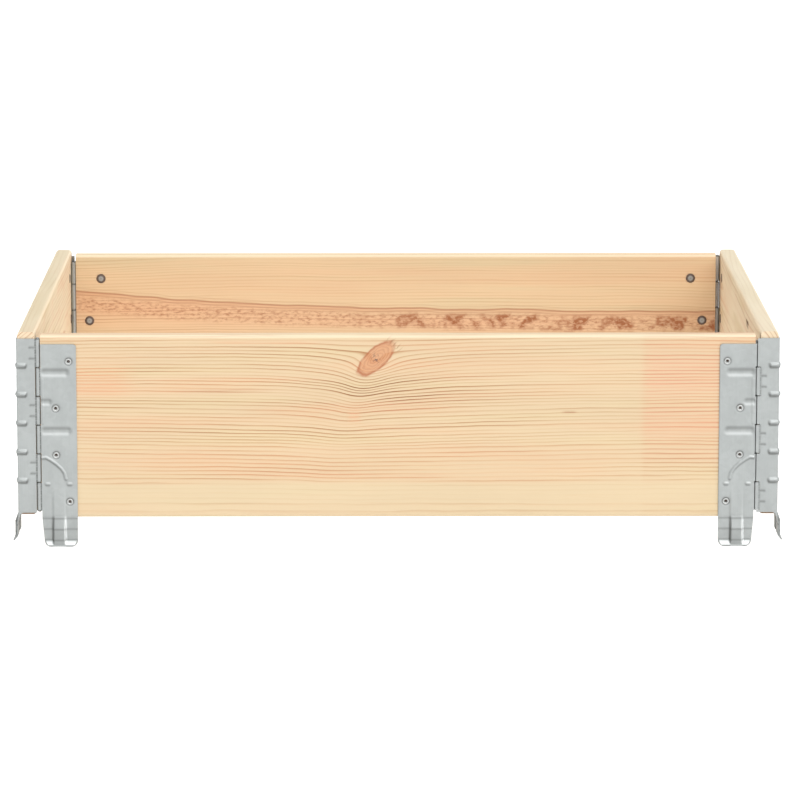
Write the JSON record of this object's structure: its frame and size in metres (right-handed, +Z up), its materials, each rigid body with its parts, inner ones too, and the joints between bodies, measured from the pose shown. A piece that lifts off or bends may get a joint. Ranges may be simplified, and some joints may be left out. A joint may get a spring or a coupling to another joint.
{
  "type": "pallet collar",
  "caption": "Rectangular wooden pallet collar of pine boards joined by riveted galvanised corner hinges, with sheet feet that locate it on a pallet; it folds flat.",
  "frame": {"origin": "middle of the footprint at the lowest point of the feet", "axes": "+X along the 800 mm length to the right, +Y along the 600 mm width to the back, +Z up"},
  "size_m": [0.8154, 0.6154, 0.2285],
  "materials": {
    "pine": "planed, unfinished",
    "zinc_sheet": "hot-dip galvanised, satin",
    "pin_steel": "plain drawn wire",
    "rivet_steel": "zinc plated, dulled"
  },
  "bodies": {
    "front": {"front_board": "pine", "front_left_front_leaf": "zinc_sheet", "front_left_front_rivets": "rivet_steel", "front_right_front_leaf": "zinc_sheet", "front_right_front_rivets": "rivet_steel", "front_left_hinge_pin": "pin_steel", "front_right_hinge_pin": "pin_steel"},
    "left": {"left_board": "pine", "front_left_side_leaf": "zinc_sheet", "front_left_side_rivets": "rivet_steel", "back_left_side_leaf": "zinc_sheet", "back_left_side_rivets": "rivet_steel", "back_left_hinge_pin": "pin_steel"},
    "right": {"right_board": "pine", "front_right_side_leaf": "zinc_sheet", "front_right_side_rivets": "rivet_steel", "back_right_side_leaf": "zinc_sheet", "back_right_side_rivets": "rivet_steel"},
    "back": {"back_board": "pine", "back_left_back_leaf": "zinc_sheet", "back_left_back_rivets": "rivet_steel", "back_right_back_leaf": "zinc_sheet", "back_right_back_rivets": "rivet_steel", "back_right_hinge_pin": "pin_steel"}
  },
  "joints": [
    {"name": "front_left_fold", "type": "hinge", "parent": "front", "child": "left", "pos_m": [-0.37865, -0.29865, 0.12], "axis": [0, 0, 1], "range_deg": [0, 88]},
    {"name": "front_right_fold", "type": "hinge", "parent": "front", "child": "right", "pos_m": [0.37865, -0.28115, 0.12], "axis": [0, 0, 1], "range_deg": [0, 88]},
    {"name": "back_left_fold", "type": "hinge", "parent": "left", "child": "back", "pos_m": [-0.37865, 0.28115, 0.12], "axis": [0, 0, 1], "range_deg": [-88, 0]}
  ],
  "couplings": [
    {"joint": "front_right_fold", "follows": "front_left_fold", "ratio": 1},
    {"joint": "back_left_fold", "follows": "front_left_fold", "ratio": -1}
  ]
}
